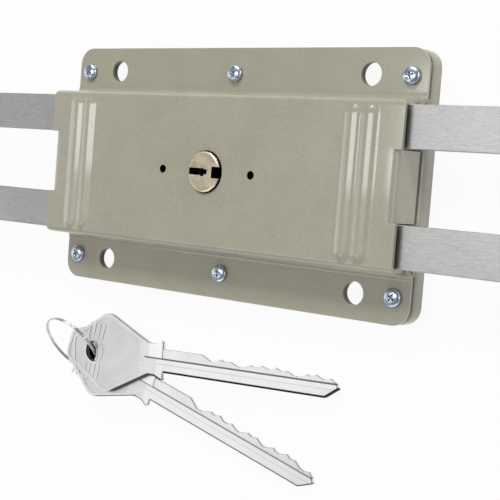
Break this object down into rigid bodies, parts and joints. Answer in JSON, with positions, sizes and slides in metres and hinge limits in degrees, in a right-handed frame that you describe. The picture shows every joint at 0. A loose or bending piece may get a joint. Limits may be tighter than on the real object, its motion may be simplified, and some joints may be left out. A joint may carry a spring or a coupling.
{
  "type": "roller shutter rim lock",
  "caption": "Pressed steel rim lock with flat bolts leaving both ends, a central brass key cylinder driving racks, and keys on a ring.",
  "frame": {"origin": "centre of the four mounting holes, on the front face of the cover's flange", "axes": "+Z out of the front cover, +X along the right-hand bolts, +Y to the lock's upper edge"},
  "size_m": [0.36, 0.1935, 0.0277],
  "materials": {
    "case_paint": "glossy enamel",
    "screw_zinc": "bright zinc plate",
    "bolt_steel": "brushed along the length",
    "plated_steel": "zinc plate",
    "rivet_steel": "turned",
    "pinion_steel": "machined",
    "spring_steel": "oiled",
    "cylinder_brass": "turned",
    "pin_brass": "turned",
    "guide_plastic": "moulded",
    "key_nickel": "nickel silver",
    "ring_steel": "bright plate"
  },
  "bodies": {
    "case": {"front_cover": "case_paint", "back_plate": "case_paint", "cover_screws": "screw_zinc", "cylinder_housing": "cylinder_brass", "driver_pins": "pin_brass", "pin_springs": "spring_steel", "pin_cover_strip": "pin_brass", "cylinder_screws": "screw_zinc", "rack_pillars": "rivet_steel", "left_bar_guide": "guide_plastic", "right_bar_guide": "guide_plastic"},
    "right_bolts": {"right_yoke": "plated_steel", "right_bar_spacers": "plated_steel", "upper_right_bar": "bolt_steel", "lower_right_bar": "bolt_steel", "right_bar_rivets": "rivet_steel"},
    "left_bolts": {"left_yoke": "plated_steel", "upper_left_bar": "bolt_steel", "lower_left_bar": "bolt_steel", "left_bar_rivets": "rivet_steel"},
    "turning_plug": {"cylinder_plug": "cylinder_brass", "plug_clip": "spring_steel", "drive_pinion": "pinion_steel", "pinion_clip": "spring_steel", "key_pins": "pin_brass"},
    "key_set": {"front_key": "key_nickel", "key_ring": "ring_steel"},
    "second_key": {"rear_key": "key_nickel"}
  },
  "joints": [
    {"name": "right_bolts_slide", "type": "slide", "parent": "case", "child": "right_bolts", "axis": [-1, 0, 0], "range_m": [0, 0.0376]},
    {"name": "left_bolts_slide", "type": "slide", "parent": "case", "child": "left_bolts", "axis": [1, 0, 0], "range_m": [0, 0.0377]},
    {"name": "plug_turn", "type": "hinge", "parent": "case", "child": "turning_plug", "pos_m": [0, 0, 0], "axis": [0, 0, -1], "range_deg": [0, 180]},
    {"name": "keys_lift", "type": "slide", "parent": "case", "child": "key_set", "axis": [0, 0, 1], "range_m": [0, 0.1]},
    {"name": "second_key_swing", "type": "hinge", "parent": "key_set", "child": "second_key", "pos_m": [-0.07724, -0.09534, -0.00147], "axis": [0.0585, -0.007, 0.9983], "range_deg": [-10, 16]}
  ],
  "couplings": [
    {"joint": "left_bolts_slide", "follows": "right_bolts_slide", "ratio": 1},
    {"joint": "plug_turn", "follows": "right_bolts_slide", "rad_per_m": 83.333}
  ]
}
